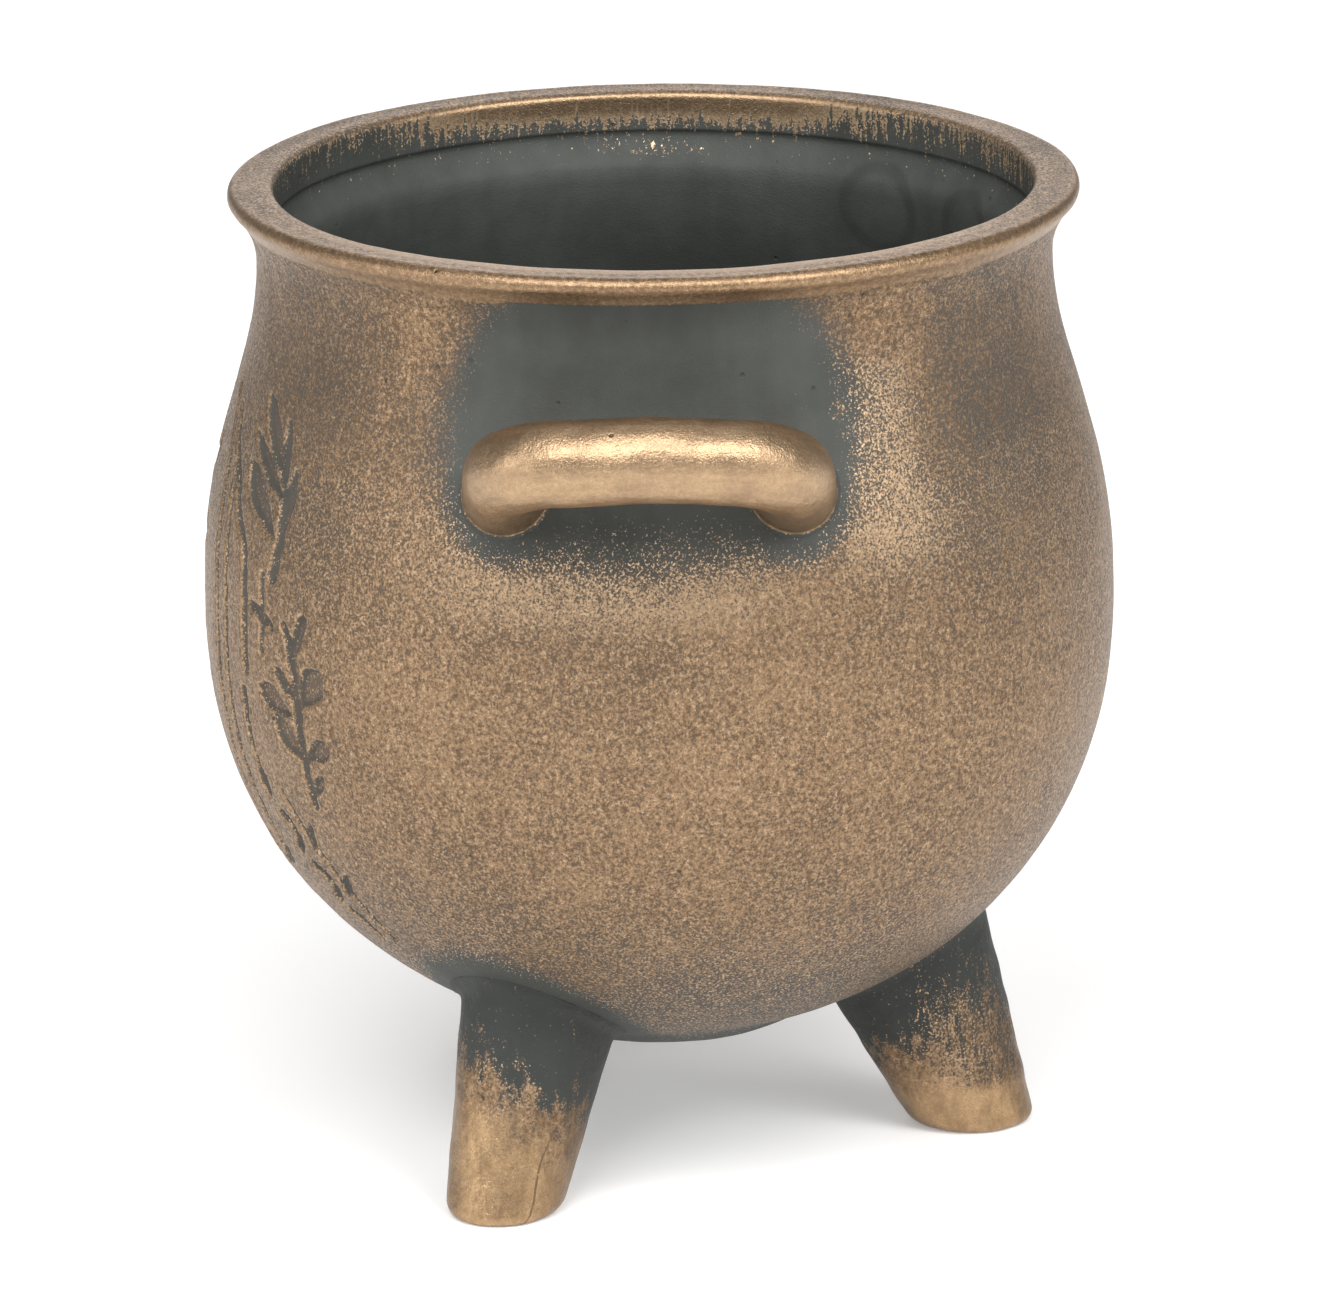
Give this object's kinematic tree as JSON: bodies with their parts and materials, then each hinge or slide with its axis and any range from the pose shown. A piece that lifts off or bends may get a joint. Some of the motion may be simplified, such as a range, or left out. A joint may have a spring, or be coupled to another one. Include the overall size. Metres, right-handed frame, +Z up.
{
  "type": "footed planter pot",
  "caption": "Round-bellied cauldron planter pot with a flared rim, lug handles and splayed peg legs, in brushed antique-bronze paint.",
  "frame": {"origin": "on the floor under the pot's axis, in the plane that the feet stand on", "axes": "+Z up out of the mouth; -Y the decorated front; +X and -X through the two handles; the back leg is on +Y"},
  "size_m": [0.1902, 0.1542, 0.1668],
  "materials": {
    "body_paint": "gold-bronze paint dry-brushed in fine speckle over a matte dark grey-green base coat",
    "handle_paint": "smooth rubbed gold-bronze paint, satin",
    "leg_paint": "smooth gold-bronze paint low down, fading to the matte dark grey-green base coat at the top"
  },
  "bodies": {
    "root": {"pot_body": "body_paint", "handle_right": "handle_paint", "handle_left": "handle_paint", "leg_front_right": "leg_paint", "leg_front_left": "leg_paint", "leg_back": "leg_paint"}
  },
  "joints": []
}
